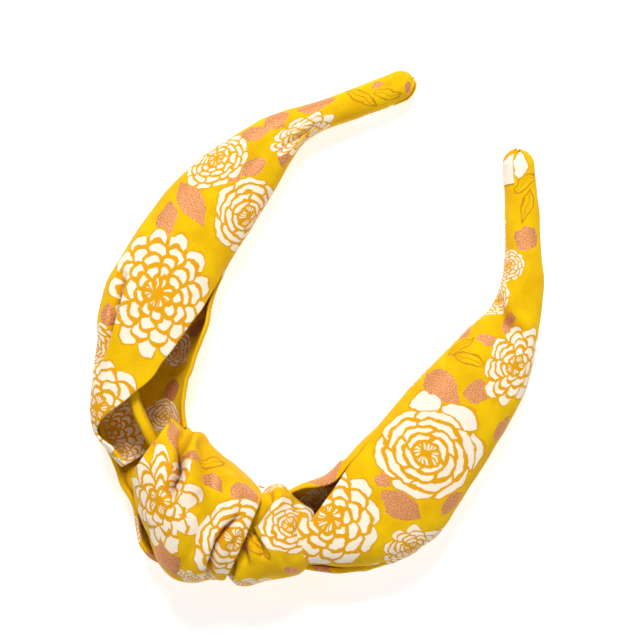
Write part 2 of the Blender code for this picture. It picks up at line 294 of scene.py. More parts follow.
def sheet_mesh(name, grid, cloth, finish, lift=TABLE_LIFT, thickness=CLOTH_THICKNESS):
    """A named sheet from a grid of points and their places on the flat cloth."""
    grid = rest_on_table(grid.copy(), lift)
    rows, columns = grid.shape[:2]
    world = to_world(grid).reshape(-1, 3)
    index = np.arange(rows * columns).reshape(rows, columns)
    faces = np.stack([index[:-1, :-1], index[:-1, 1:], index[1:, 1:], index[1:, :-1]], axis=-1).reshape(-1, 4)
    mesh = bpy.data.meshes.new(name)
    mesh.from_pydata(world.tolist(), [], faces.tolist())
    place = mesh.attributes.new("cloth", "FLOAT_VECTOR", "POINT")
    flat = np.zeros((rows * columns, 3))
    flat[:, :cloth.shape[-1]] = cloth.reshape(rows * columns, -1)
    place.data.foreach_set("vector", flat.ravel())
    mesh.polygons.foreach_set("use_smooth", [True] * len(mesh.polygons))
    mesh.materials.append(finish)
    made = bpy.data.objects.new(name, mesh)
    bpy.context.scene.collection.objects.link(made)
    give_thickness(made, thickness)


def give_thickness(made, thickness):
    """Makes a sheet as thick as cloth, with soft edges."""
    solid = made.modifiers.new("thickness", "SOLIDIFY")
    solid.thickness = thickness * MM
    solid.offset = 0.0
    rounding = made.modifiers.new("soft_edges", "BEVEL")
    rounding.width = 0.4 * thickness * MM
    rounding.segments = 2
    rounding.limit_method = "ANGLE"
    rounding.angle_limit = math.radians(60)


# ---- materials

def linear(red, green, blue):
    """A screen colour from 0 to 255 as linear values, opaque."""
    return (*(c / 12.92 if c <= 0.04045 else ((c + 0.055) / 1.055) ** 2.4
              for c in (red / 255, green / 255, blue / 255)), 1.0)


class Nodes:
    """Short calls that add shader nodes to one tree."""

    def __init__(self, name):
        self.material = bpy.data.materials.new(name)
        self.material.use_nodes = True
        self.tree = self.material.node_tree
        self.shader = self.tree.nodes["Principled BSDF"]

    def add(self, kind, inputs=(), **settings):
        node = self.tree.nodes.new(kind)
        for key, value in settings.items():
            setattr(node, key, value)
        for key, value in dict(inputs).items():
            if isinstance(value, bpy.types.NodeSocket):
                self.tree.links.new(value, node.inputs[key])
            else:
                node.inputs[key].default_value = value
        return node

    def math(self, operation, a, b=0.0, c=0.0):
        return self.add("ShaderNodeMath", {0: a, 1: b, 2: c}, operation=operation).outputs[0]

    def vector(self, operation, a, b=(0.0, 0.0, 0.0), output="Vector"):
        return self.add("ShaderNodeVectorMath", {0: a, 1: b}, operation=operation).outputs[output]

    def mix(self, factor, a, b, kind="FLOAT"):
        pick = {"FLOAT": (2, 3, 0), "VECTOR": (4, 5, 1), "RGBA": (6, 7, 2)}[kind]
        return self.add("ShaderNodeMix", {0: factor, pick[0]: a, pick[1]: b}, data_type=kind).outputs[pick[2]]

    def ramp(self, value, low, high):
        """0 below low and 1 above high, smooth between them."""
        return self.add("ShaderNodeMapRange", {"Value": value, "From Min": low, "From Max": high},
                        interpolation_type="SMOOTHSTEP").outputs[0]

    def scaled(self, value, factor):
        return self.add("ShaderNodeVectorMath", {0: value, "Scale": factor}, operation="SCALE").outputs[0]

    def noise(self, place, scale, detail=2.0):
        return self.add("ShaderNodeTexNoise", {"Vector": place, "Scale": scale, "Detail": detail}).outputs[0]

    def parts(self, value):
        return self.add("ShaderNodeSeparateXYZ", {0: value}).outputs

    def bump(self, height, strength, distance):
        return self.add("ShaderNodeBump", {"Height": height, "Strength": strength,
                                           "Distance": distance}).outputs[0]

    def on_object(self):
        return self.add("ShaderNodeTexCoord").outputs["Object"]

    def set(self, **values):
        for key, value in values.items():
            socket = self.shader.inputs[key.replace("_", " ")]
            if isinstance(value, bpy.types.NodeSocket):
                self.tree.links.new(value, socket)
            else:
                socket.default_value = value


YELLOW = linear(244, 199, 0)
YELLOW_DEEP = linear(228, 174, 0)
LINE_GOLD = linear(230, 163, 10)
CREAM = linear(250, 239, 221)
CREAM_WARM = linear(255, 238, 208)
COPPER = linear(186, 106, 50)
# Lighter copper, for glints painted on the foil where it would catch the light
COPPER_GLINT = linear(244, 178, 122)
LEAF_LINE = linear(205, 135, 20)

# Painted shade: what is left of red, green and blue at the bottom of the deepest crease
CREASE_SHADE = (0.34, 0.22, 0.12, 1.0)

# How far drawn lines stray, and the spacing of the threads, in millimetres
WOBBLE = 3.2
THREAD_SPACING = 0.45

# Flowers, as shares of their size: rings of petals, the line between petals (its soft edge), and the heart
RING_SIZES = (1.0, 0.8, 0.61, 0.43, 0.27)
RING_SHIFTS = (0.0, 0.5, 0.15, 0.6, 0.3)
PETAL_STROKE = (0.042, 0.030)
STAMENS = 17
STAMEN_LENGTH = 0.23
HEART_SIZE = 0.10

# Leaves, as shares of their width: the outline and the rib
LEAF_STROKE = 0.12
LEAF_RIB = 0.07


def nearest_motif(n, place, motifs):
    """Local place and style of the motif that a point belongs to.

    Each motif is ((x, y), (half length, half width), turn in degrees, style); a style is three numbers.
    """
    best = local = style = None
    for (x, y), (half_length, half_width), turn, values in motifs:
        here = n.add("ShaderNodeMapping", {"Vector": place, "Location": (x, y, 0.0),
                                           "Rotation": (0.0, 0.0, math.radians(turn)),
                                           "Scale": (half_length, half_width, 1.0)},
                     vector_type="TEXTURE").outputs[0]
        away = n.vector("LENGTH", here, output="Value")
        if best is None:
            best, local, style = away, here, n.add("ShaderNodeCombineXYZ", dict(enumerate(values))).outputs[0]
            continue
        closer = n.math("LESS_THAN", away, best)
        local = n.mix(closer, local, here, "VECTOR")
        style = n.mix(closer, style, values, "VECTOR")
        best = n.math("MINIMUM", away, best)
    return local, style


def petal_ring(n, size, shift, petals, scallop, swirl, turn, radius):
    """One ring of petals: the radius of its scalloped edge, and the distance to the nearest gap."""
    # Smaller rings have fewer petals, and the deeper the scallops, the more pointed the petals
    count = n.math("ROUND", n.math("MULTIPLY", petals, 0.45 + 0.55 * size))
    phase = n.math("FRACT", n.math("ADD", n.math("MULTIPLY_ADD", turn, count, shift), swirl))
    tooth = n.math("ABSOLUTE", n.math("MULTIPLY_ADD", phase, 2.0, -1.0))
    sharpness = n.math("MULTIPLY_ADD", scallop, -4.0, 3.0)
    dip = n.math("MULTIPLY", n.math("POWER", tooth, sharpness), scallop)
    edge = n.math("MULTIPLY", n.math("SUBTRACT", 1.0, dip), size * 0.96)
    arc = n.math("DIVIDE", n.math("MULTIPLY", radius, math.pi), count)
    return edge, n.math("MULTIPLY", n.math("SUBTRACT", 1.0, tooth), arc)


def draw_flower(n, local, style):
    """Rings of outlined petals; style is petals, scallop and twist.

    Returns the flower's mask, the distance to its nearest line, and the radius and turn of each point.
    """
    petals, scallop, twist = n.parts(style)
    x, y, _ = n.parts(local)
    radius = n.vector("LENGTH", local, output="Value")
    turn = n.math("DIVIDE", n.math("ARCTAN2", y, x), 2 * math.pi)
    swirl = n.math("MULTIPLY", radius, twist)
    rings = [petal_ring(n, size, shift, petals, scallop, swirl, turn, radius)
             for size, shift in zip(RING_SIZES, RING_SHIFTS)]
    nearest = None
    for k, (edge, gap) in enumerate(rings):
        rim = n.math("ABSOLUTE", n.math("SUBTRACT", radius, edge))
        outside = n.math("GREATER_THAN", radius, edge)
        if k + 1 < len(rings):
            outside = n.math("MAXIMUM", outside, n.math("LESS_THAN", radius, rings[k + 1][0]))
        line = n.math("MINIMUM", rim, n.math("ADD", gap, outside))
        nearest = line if nearest is None else n.math("MINIMUM", nearest, line)
    return n.math("LESS_THAN", radius, rings[0][0]), nearest, radius, turn


def draw_leaf(n, local):
    """The edge distance of a pointed leaf of length 2 along x, and the distance to its rib."""
    x, y, _ = n.parts(local)
    width = n.math("SUBTRACT", 1.0, n.math("MULTIPLY", x, x))
    across = n.math("ABSOLUTE", y)
    return n.math("SUBTRACT", across, width), across


def unsteady(n, raw):
    """Places on the cloth shifted a little, so that lines look drawn by hand."""
    wobble = n.add("ShaderNodeTexNoise", {"Vector": raw, "Scale": 0.22, "Detail": 2.0}).outputs["Color"]
    wobble = n.scaled(n.vector("SUBTRACT", wobble, (0.5, 0.5, 0.5)), WOBBLE)
    return n.vector("MULTIPLY", n.vector("ADD", raw, wobble), (1.0, 1.0, 0.0))


def yellow_ground(n, raw):
    """The yellow of the cotton, a little deeper in drifts."""
    drift = n.mix(0.35, n.noise(raw, 0.12), n.noise(raw, 1.6, 4.0))
    return n.mix(n.ramp(drift, 0.3, 0.7), YELLOW, YELLOW_DEEP, "RGBA")


def leaves_over(n, colour, raw, local, style):
    """Adds the leaves, which are foil with painted glints, outlined or plain cream; returns the mask of the
    foil too.
    """
    edge, rib = draw_leaf(n, local)
    is_foil, is_outline, is_blob = n.parts(style)
    inside_leaf = n.math("LESS_THAN", edge, 0.0)
    foil = n.math("MULTIPLY", inside_leaf, is_foil)
    stroke = n.math("LESS_THAN", n.math("ABSOLUTE", edge), LEAF_STROKE)
    rib_line = n.math("MULTIPLY", n.math("LESS_THAN", rib, LEAF_RIB), inside_leaf)
    outline = n.math("MULTIPLY", n.math("MAXIMUM", stroke, rib_line), is_outline)
    blob = n.math("MULTIPLY", inside_leaf, is_blob)
    blob_line = n.math("MULTIPLY", stroke, is_blob)
    colour = n.mix(outline, colour, LEAF_LINE, "RGBA")
    colour = n.mix(blob, colour, CREAM, "RGBA")
    colour = n.mix(blob_line, colour, LINE_GOLD, "RGBA")
    # Painted glints: specks of lighter copper where the foil would catch the light
    foil_glints = n.ramp(n.noise(raw, 2.6, 4.0), 0.34, 0.67)
    copper = n.mix(foil_glints, COPPER, COPPER_GLINT, "RGBA")
    return n.mix(foil, colour, copper, "RGBA"), foil


def flowers_over(n, colour, raw, local, style):
    """Adds the flowers; returns their mask too."""
    body, line, radius, turn = draw_flower(n, local, style)
    strokes = n.ramp(line, *PETAL_STROKE)
    petal = n.mix(n.noise(raw, 0.5), CREAM, CREAM_WARM, "RGBA")
    flower = n.mix(strokes, petal, LINE_GOLD, "RGBA")
    rays = n.math("GREATER_THAN", n.math("SINE", n.math("MULTIPLY", turn, 2 * math.pi * STAMENS)), 0.2)
    stamens = n.math("MULTIPLY", rays, n.math("LESS_THAN", radius, STAMEN_LENGTH))
    heart = n.math("MAXIMUM", stamens, n.math("LESS_THAN", radius, HEART_SIZE))
    flower = n.mix(heart, flower, LINE_GOLD, "RGBA")
    return n.mix(body, colour, flower, "RGBA"), body


def shaded_creases(n, colour, raw):
    """Paints shade into the bottoms of creases, where little light reaches."""
    crease = n.parts(raw)[2]
    return n.vector("MULTIPLY", colour, n.mix(crease, (1.0, 1.0, 1.0, 1.0), CREASE_SHADE, "RGBA"))


def plain_weave(n, raw):
    """Bumps of a fine plain weave, with softer lumps."""
    x, y, _ = n.parts(n.scaled(raw, 2 * math.pi / THREAD_SPACING))
    weave = n.math("MULTIPLY", n.math("SINE", x), n.math("SINE", y))
    height = n.math("MULTIPLY_ADD", n.noise(raw, 2.0, 3.0), 0.8, weave)
    return n.bump(height, 0.35, 0.00006)


def printed_cloth(name, flowers, leaves):
    """Yellow cotton with outlined cream flowers and copper foil leaves."""
    n = Nodes(name)
    raw = n.add("ShaderNodeAttribute", attribute_name="cloth").outputs["Vector"]
    place = unsteady(n, raw)
    colour = yellow_ground(n, raw)
    colour, foil = leaves_over(n, colour, raw, *nearest_motif(n, place, leaves))
    colour, body = flowers_over(n, colour, raw, *nearest_motif(n, place, flowers))
    foil = n.math("MULTIPLY", foil, n.math("SUBTRACT", 1.0, body))
    n.set(Base_Color=shaded_creases(n, colour, raw), Metallic=n.math("MULTIPLY", foil, 0.25),
          Normal=plain_weave(n, raw), Roughness=n.mix(foil, 0.85, 0.5))
    n.set(Sheen_Weight=0.03, Sheen_Roughness=0.5, Specular_IOR_Level=0.14)
    return n.material


# ---- sections of the strip round the band

# A section's squareness (1 is an ellipse), and how far it hangs below the band where the table leaves room
SECTION_POWER = 0.8
FULLNESS_BELOW = 1.55

# Where the wall of the open pocket beside the knot is upright again, and how much it slopes before
POCKET_END, WALL_UPRIGHT = 60.0, 95.0
WALL_SLOPE = 0.5

# The print is drawn on a plan of the flat cloth. What would lie over other cloth there has a page of its own,
# shifted in x: the inner side of a wrap, from its rim down to the given angle, and the tips' flaps
INNER_PAGE, INNER_PAGE_ENDS = 400.0, 262.0
FLAP_PAGE = 800.0

# Motifs beyond this share of a section's half width are placed past its edge
NEAR_EDGE = 0.97


def squared(wave, power):
    """A cosine or sine reshaped; with a power below 1 an ellipse becomes squarer."""
    return np.sign(wave) * np.abs(wave) ** power


def section(out, inward, up, down, wall, angle):
    """Points on a flattened oval: 0 degrees is outward, 90 is up and 180 is inward. All arrays.

    wall is the power of the quarter that is inward and down: the larger, the more it slopes.
    """
    c, s = np.cos(np.radians(angle)), np.sin(np.radians(angle))
    power = np.where((c < 0) & (s < 0), wall, SECTION_POWER)
    u = np.where(c > 0, out, inward) * squared(c, power)
    v = np.where(s > 0, up, down) * squared(s, power)
    return u, v


def arc_from_top(out, inward, up, down, wall, angle):
    """Signed length of cloth from the top of a section to each angle; outward is positive."""
    share = np.linspace(0.0, 1.0, 160)
    path = 90.0 + (np.asarray(angle, float)[..., None] - 90.0) * share
    sizes = [np.broadcast_to(np.asarray(size, float), np.shape(angle))[..., None]
             for size in (out, inward, up, down, wall)]
    u, v = section(*sizes, path)
    length = np.hypot(np.diff(u, axis=-1), np.diff(v, axis=-1)).sum(axis=-1)
    return length * np.sign(90.0 - np.asarray(angle, float))


def wall_slope(s):
    """The wall's power: sloping in the open pocket beside the knot, upright from there to the tips."""
    upright = np.clip((np.abs(s) - POCKET_END) / (WALL_UPRIGHT - POCKET_END), 0.0, 1.0)
    return SECTION_POWER + WALL_SLOPE * (1.0 - upright)


def cloth_place(s, arc):
    """Place on the flat cloth: beside the band's route by the length of cloth from the section's top."""
    centre, _, normal = band_frame(s)
    return centre + normal * np.asarray(arc)[..., None]


def plan_place(x, y):
    """Distance along the band and outward offset of a plan point."""
    nearest = int(np.argmin(np.hypot(ROUTE_POINTS[:, 0] - x, ROUTE_POINTS[:, 1] - y)))
    centre, _, normal = band_frame(ROUTE_S[nearest])
    return ROUTE_S[nearest], float((np.array((x, y)) - centre) @ normal)


def seen_from_above(x, y, table):
    """The place on the flat cloth of what is seen at a plan point on a section's upper side."""
    s, u = plan_place(x, y)
    out, inward, up = smooth_rows(table, abs(s) if table is LEFT_WRAP else s)[0][:3]
    size = out if u > 0 else inward
    ratio = min(abs(u) / size, NEAR_EDGE) ** (1.0 / SECTION_POWER)
    angle = math.degrees(math.acos(math.copysign(ratio, u)))
    arc = float(arc_from_top(out, inward, up, up, SECTION_POWER, np.array([angle]))[0])
    beyond = math.copysign(max(abs(u) - NEAR_EDGE * size, 0.0), u)
    return tuple(cloth_place(s, arc + beyond))


def seen_inside(x, y, table):
    """The place on the flat cloth of what is seen at a plan point down inside an open wrap."""
    s, u = plan_place(x, y)
    out, inward, up, rim, _ = smooth_rows(table, abs(s))[0]
    down = float(min(room_below(np.array([s]))[0], FULLNESS_BELOW * up))
    size, power = (out, SECTION_POWER) if u > 0 else (inward, float(wall_slope(s)))
    ratio = min(abs(u) / size, NEAR_EDGE) ** (1.0 / power)
    angle = 360.0 - math.degrees(math.acos(math.copysign(ratio, u)))
    sizes = (out, inward, up, down, wall_slope(s))
    if u > 0:
        return tuple(cloth_place(s, float(arc_from_top(*sizes, np.array([angle - 360.0]))[0])))
    from_rim = float(np.diff(arc_from_top(*sizes, np.array([angle, rim])))[0])
    x, y = cloth_place(s, from_rim - inward)
    return x + INNER_PAGE, y


# (distance along the arm, outward, inward, up, angle of the inner rim, angle of the upper edge)
LEFT_WRAP = [
    (24, 13.4, 12, 9.5, 168, 36), (30, 14.6, 14, 9.8, 168, 30), (37, 15.8, 17.5, 10, 167, 21),
    (39.2, 15.3, 18.2, 10.2, 167, 56), (40.8, 14.8, 18.6, 10.4, 167, 79), (43.5, 13.6, 19, 10.6, 167, 93),
    (55.7, 12.2, 20.8, 11, 167, 115), (66, 14.4, 21.1, 11, 168, 127), (75.7, 15.4, 20.9, 10.8, 169, 137),
    (83, 14.8, 19, 10.4, 172, 152), (95, 14.5, 17.4, 9.8, 176, 165), (108, 14, 16.2, 9.2, 178, 171),
    (122, 12.3, 14.2, 8.4, 179, 173), (132, 10.6, 12.2, 7.6, 180, 174), (142, 8.8, 8.8, 6.8, 180, 174),
    (152, 6.9, 5.4, 6.2, 180, 174), (162, 5, 4.3, 5.8, 180, 174), (172, 4.5, 4.9, 5.5, 180, 174),
    (195.1, 4.3, 5, 5.2, 180, 174),
]
RIGHT_WRAP = [
    (29.6, 12.4, 12, 9, 165, 20), (30.8, 12.1, 12.6, 9.4, 165, 22), (31.9, 12, 13, 9.8, 165, 73),
    (37.2, 12.6, 14.2, 10.6, 162, 93), (42.5, 14.9, 14.6, 11, 152, 108), (51.3, 18.6, 14.8, 11.2, 144, 129),
    (58, 21.2, 16.2, 11.2, 149, 140), (68, 22.2, 17.1, 11, 158, 150), (78, 19.8, 17.7, 10.6, 165, 158),
    (86, 18.4, 17.8, 10.2, 171, 164), (98, 17.1, 17, 9.6, 176, 170), (108, 16.1, 15.7, 9.2, 179, 173),
    (118, 15, 13.9, 8.6, 180, 174), (128, 12.8, 11, 7.8, 180, 174), (138, 10.2, 6.9, 7, 180, 174),
    (148, 8, 5.9, 6.4, 180, 174), (158, 6, 5.8, 6, 180, 174), (168, 5.4, 5.4, 5.6, 180, 174),
    (195.1, 4.7, 5.2, 5.2, 180, 174),
]
# (distance from the crown, outward, inward, up)
FRONT_LOBE = [
    (-30, 9, 9.2, 12.6), (-24, 10.6, 10.6, 14.4), (-21.5, 12, 11.2, 15.4), (-18.5, 13.4, 14.3, 16.4),
    (-12.5, 16.9, 14.6, 17.8), (-6, 20.4, 15, 18.8), (0.5, 25.6, 15.2, 19.2), (4, 27, 14.9, 19.4),
    (7, 26.2, 14.2, 19.4), (9.5, 24.4, 13.6, 19.2), (12, 21.6, 12.9, 18.4), (15.5, 20.2, 11.4, 17.2),
    (18.6, 19.6, 9.6, 15.4),
]
SECOND_LOBE = [
    (13.5, 16, 6, 6.5), (16, 18.2, 7.6, 8.6), (18.7, 20.6, 10.6, 11.4), (20.5, 20.3, 12.9, 13.4),
    (24.4, 17.7, 14.4, 15.2), (27.2, 16.7, 14.3, 14.6), (30, 16, 12.4, 13.2), (33, 15, 9.8, 10.8),
    (36, 11.4, 7.4, 8.4), (39, 7, 5.4, 6.4),
]
REAR_PASS = [
    (-42, 14, 12, 4), (-34, 15.6, 12, 4), (-25, 15.9, 12, 4), (-19.8, 17.5, 12, 4),
    (-14.3, 18.4, 12, 4), (-10.1, 21.6, 12, 4), (-5.3, 25.9, 12, 4), (-2.5, 27, 12, 4),
    (1.2, 26.2, 12, 4), (8, 24.6, 12, 4), (13, 20.5, 12, 4),
]
UNDER_LAYER = [
    (28, 12.4, 10, 4), (31.2, 13, 10, 4), (37.1, 14.9, 10, 4), (43.8, 17.4, 10, 4),
    (52, 20.2, 10, 4), (60, 21.8, 10, 4), (66, 21.4, 10, 4),
]

# Creases pressed into the upper side: (line in plan, depth, width, lip beside it)
LEFT_CREASES = [
    (((-63.5, -21), (-60, -31.5), (-57.5, -38), (-55.5, -44)), 1.2, 0.7, 0),
    (((-64.5, -19), (-60, -31.5), (-57.5, -38), (-55.5, -44), (-54, -51)), 3.4, 1.5, 1),
    (((-46.5, 42), (-46, 47), (-43.5, 53), (-41.5, 60)), 1, 1.2, 0.3),
    (((-52, 30), (-51, 42), (-47.5, 56)), 0.7, 2.4, 0.2),
    (((-58, -3), (-52, -20), (-49, -38)), 0.5, 4, 0),
    (((-38, 73), (-33, 80), (-28, 86)), 0.35, 1.4, 0),
]
RIGHT_CREASES = [
    (((37, 49.5), (42, 45.5), (48, 42.5), (55, 41.5)), 2.2, 1.4, 0.7),
    (((41.5, 41), (43, 50), (40, 58)), 0.8, 1.6, 0.2),
    (((38, -14), (42, -30), (46, -44)), 0.5, 4.5, 0),
    (((60, 10), (63, -10), (62, -30)), 0.5, 3.5, 0),
    (((33, 73), (27.5, 80), (22.5, 87)), 0.35, 1.4, 0),
]
FRONT_CREASES = [
    (((-18.2, -48), (-16.4, -52), (-13.6, -57.5), (-11, -63.5), (-9.5, -70)), 3, 0.75, 0),
    (((12.9, -64), (12, -69), (12.3, -73), (14.2, -78.5), (17.2, -86)), 2.4, 0.7, 0),
    (((-19.5, -45), (-17, -50.5), (-15.3, -54), (-13, -58.5), (-10.5, -64), (-8.8, -71)),
     7, 1.7, 1),
    (((12.9, -62), (11.9, -69), (12.2, -73), (14.2, -78.5), (17.2, -86.5)), 4.6, 1.1, 0.7),
    (((-14, -47), (-8.5, -52.5), (-3, -60), (1, -70)), 1.8, 2.4, 0.8),
    (((-1, -62), (3, -70), (6, -80), (8, -92)), 1.6, 3.2, 0.6),
    (((4, -54), (5, -62), (5.5, -72)), 0.7, 2.8, 0.3),
    (((-20, -66), (-16, -72), (-10, -79)), 0.6, 3, 0.3),
]
SECOND_CREASES = [
    (((17.5, -63.2), (22, -65.2), (27.5, -68.6)), 1.8, 0.8, 0.5),
    (((17.5, -72.5), (20.5, -75.5), (23.5, -81.5), (25, -85.5)), 2.4, 0.9, 0.6),
    (((24, -46.5), (29, -51), (34, -57.5)), 1.2, 1.4, 0.4),
    (((15, -49), (18.3, -52), (18.6, -58), (18.2, -64)), 1.8, 1.2, 0.7),
    (((18, -63.5), (23, -64.8), (28.5, -68)), 1.1, 0.9, 0.6),
    (((18, -69), (21, -70.5), (25, -73.5)), 1.3, 1, 0.5),
    (((22, -48), (25, -52), (27, -57)), 0.7, 1.8, 0.2),
    (((26, -60), (31, -64), (36, -67)), 0.8, 1.4, 0.3),
]

# ---- the print

# Styles of leaves (foil, outlined or plain) and of flowers (petals, scallop and twist)
FOIL, OUTLINE, BLOB = (1.0, 0.0, 0.0), (0.0, 1.0, 0.0), (0.0, 0.0, 1.0)
DAHLIA, DAISY, SQUARES = (13, 0.17, 0.0), (9, 0.22, 0.4), (11, 0.05, 0.2)
RUFFLE, PEONY, CURLED = (6, 0.08, 0.9), (6, 0.07, 1.2), (7, 0.10, 0.8)
LOTUS = (9, 0.36, 0.05)

# Motifs at their places in plan: ((x, y), (half length, half width), turn in degrees, style)
LEFT_FLOWERS = [
    ((-51.2, -18.8), (23, 18.6), -54, DAHLIA), ((-45, -60.5), (17, 17), 30, DAISY),
    ((-58.5, -45), (7, 9), 0, CURLED), ((-27, -75), (8.5, 7), 0, RUFFLE),
    ((-43, 19.5), (12.5, 14), 20, RUFFLE), ((-62, 28.5), (9, 13), -15, SQUARES),
    ((-44.2, 52.5), (13, 6), 66, DAISY),
]
LEFT_LEAVES = [
    ((-60.5, 12), (8.5, 4.6), -25, FOIL), ((-63, 1.5), (8, 3.2), -68, FOIL),
    ((-51, 33.5), (5.4, 2.5), 70, FOIL), ((-55.5, 27.5), (3.6, 3), 10, FOIL),
    ((-57.5, 42.5), (6.5, 2.6), 50, FOIL), ((-54, 51.5), (5.5, 3.2), 65, FOIL),
    ((-46.5, 63.5), (7, 3), 55, FOIL), ((-44.8, 43), (4.2, 2.4), -55, FOIL),
    ((-34, 81.5), (2.6, 1.2), 50, FOIL), ((-25, 86.5), (2.2, 1.4), -80, FOIL),
    ((-61, -34.5), (3.6, 2.6), -60, FOIL), ((-35.5, 74.5), (5.5, 2), 10, OUTLINE),
    ((-29.5, 80.5), (4.6, 1.8), 35, OUTLINE),
]
LEFT_INNER_FLOWERS = [
    ((-38.5, -64), (15, 13), 20, DAISY), ((-26.5, -50), (8, 7), 30, RUFFLE),
    ((-36.5, -30), (7, 7.5), 0, CURLED),
]
LEFT_INNER_LEAVES = [
    ((-29.5, -41.5), (5.6, 4), -55, FOIL), ((-35, -20), (5.5, 2.6), 75, FOIL),
    ((-31.5, -34.5), (4.6, 1.8), 62, OUTLINE),
]
RIGHT_FLOWERS = [
    ((58, 31.5), (10.8, 15.5), 8, DAISY), ((51, -10), (18.4, 15.6), 15, PEONY),
    ((37.5, -45.5), (18, 18), 0, (10, 0.15, 0.35)), ((65.5, -37.5), (11.5, 9), 40, DAISY),
    ((37.5, 57.5), (5.5, 7), -35, SQUARES), ((40.5, 46.5), (6.5, 7), 0, SQUARES),
]
RIGHT_LEAVES = [
    ((42, 11), (8, 5.2), -8, FOIL), ((53, 17), (4.8, 3.8), 40, FOIL),
    ((54, -28.5), (8, 4.6), 5, FOIL), ((44, -25.5), (3.2, 2.4), 0, FOIL),
    ((67.5, -18), (5.4, 2.6), 80, FOIL), ((66.8, 11.5), (5.4, 2), 95, FOIL),
    ((36.5, 68.5), (4.4, 4), 0, FOIL), ((48.6, 41.5), (4.6, 2.2), -60, FOIL),
    ((46.5, 33), (4.6, 2), 25, FOIL), ((39, 31), (3.2, 1.3), 80, FOIL),
    ((36.5, -60), (3.8, 1.9), 15, FOIL), ((44.5, -59), (4.4, 1.4), 22, FOIL),
    ((44.5, 24), (5.8, 1.9), 15, OUTLINE), ((40, 26.5), (5.2, 1.6), 65, OUTLINE),
    ((30.5, 77.5), (6, 1.9), 110, OUTLINE), ((25.8, 84), (5.6, 1.8), 75, OUTLINE),
    ((41.5, 3.5), (6, 4.8), 40, BLOB), ((53.5, 6.2), (7.4, 4.8), 5, BLOB),
    ((63.5, 0), (6.6, 4.4), -50, BLOB),
    ((20.8, 87.5), (5.5, 2.6), 122, BLOB), ((FLAP_PAGE + 24, 84), (14, 12), 122, BLOB),
]
RIGHT_RIM_LEAVES = [
    ((31.5, -36), (8.5, 4.2), 62, FOIL), ((38.5, -17), (5.4, 3), 75, FOIL),
    ((35, -26), (4.2, 2.4), 70, BLOB),
]
RIGHT_INNER_FLOWERS = [((31, -43.5), (8, 7), 30, RUFFLE)]
RIGHT_INNER_LEAVES = [((32.5, -33), (6.5, 3.4), 80, FOIL), ((38.5, -21), (6, 2.6), 70, FOIL)]
FRONT_FLOWERS = [
    ((-10.6, -73.2), (20, 15.5), -54, LOTUS), ((15.5, -69.5), (12.5, 15.5), 0, CURLED),
    ((13.6, -86.8), (7.5, 5), 0, DAISY), ((-13, -88), (6, 3.4), -35, SQUARES),
]
FRONT_LEAVES = [
    ((10.3, -55.5), (5.6, 4.8), -70, FOIL), ((2, -87.2), (8, 4.4), -35, FOIL),
    ((-0.5, -58.2), (5, 2.2), -12, FOIL), ((-10.3, -54.5), (3.2, 1.9), 30, FOIL),
    ((-19.5, -53.2), (5.8, 3), -45, FOIL), ((-21, -59.2), (2.6, 1.2), 0, FOIL),
    ((-1, -93.5), (6.5, 3), 10, FOIL), ((4, -50), (5.5, 0.9), -5, FOIL),
    ((-4.5, -53.5), (4.4, 2.4), 35, OUTLINE),
]
SECOND_FLOWERS = [
    ((28.2, -55), (10.5, 10), 40, RUFFLE), ((29, -79), (9.5, 5.4), 30, DAISY),
    ((14.6, -49), (4.6, 5), 0, DAISY),
]
SECOND_LEAVES = [
    ((19.5, -69), (3.4, 1.4), -10, FOIL), ((23.2, -66.2), (6.4, 2.2), -15, OUTLINE),
    ((37.5, -66.5), (3.4, 2), 20, FOIL),
]


def on_top(motifs, table):
    """Motifs drawn in plan on the upper side of a section."""
    return [(seen_from_above(*place, table), size, turn, style) for place, size, turn, style in motifs]


def on_rim(motifs):
    """Motifs on the cloth just below a wrap's inner rim, which is drawn at its place in plan."""
    return [((x + INNER_PAGE, y), size, turn, style) for (x, y), size, turn, style in motifs]


def inside(motifs, table):
    """Motifs drawn in plan down inside an open wrap."""
    return [(seen_inside(*place, table), size, turn, style) for place, size, turn, style in motifs]


def scattered(start, end, step, offset, seed):
    """Flowers and leaves that fill the cloth beside the band, where none is listed."""
    flowers, leaves = [], []
    kinds = (DAHLIA, CURLED, SQUARES, DAISY, RUFFLE)
    for k, s in enumerate(np.arange(start, end, step)):
        centre, _, normal = band_frame(s)
        wave = math.sin(seed + 2.4 * k)
        x, y = centre + normal * (offset + 3.0 * wave)
        flowers.append(((x, y), (9.0 + 2.0 * wave, 9.5), 40 * k, kinds[k % len(kinds)]))
        centre, _, normal = band_frame(s + step / 2)
        x, y = centre + normal * (offset + 4.0 * wave)
        leaves.append(((x, y), (6.5, 3.0), 70 * k + 20, FOIL if k % 3 else OUTLINE))
    return flowers, leaves


def on_rim_both(drawn):
    """A pair of (flowers, leaves), both below the inner rim."""
    return on_rim(drawn[0]), on_rim(drawn[1])


def joined(first, second):
    """Two (flowers, leaves) pairs as one."""
    return first[0] + second[0], first[1] + second[1]


# ---- the other materials

def plastic(name):
    """The band's moulded plastic, milky and slightly mottled."""
    n = Nodes(name)
    cloud = n.ramp(n.noise(n.on_object(), 220.0, 3.0), 0.35, 0.65)
    colour = n.mix(cloud, linear(226, 222, 210), linear(206, 200, 186), "RGBA")
    n.set(Base_Color=colour, Normal=n.bump(cloud, 0.2, 0.00008), Roughness=0.38, Specular_IOR_Level=0.4)
    return n.material


def dried_glue(name):
    """Clear hot glue, uneven where it has spread."""
    n = Nodes(name)
    lumps = n.noise(n.on_object(), 420.0, 2.0)
    colour = n.mix(lumps, linear(248, 240, 214), linear(232, 214, 160), "RGBA")
    n.set(Base_Color=colour, Normal=n.bump(lumps, 0.6, 0.0002), Roughness=0.22)
    return n.material


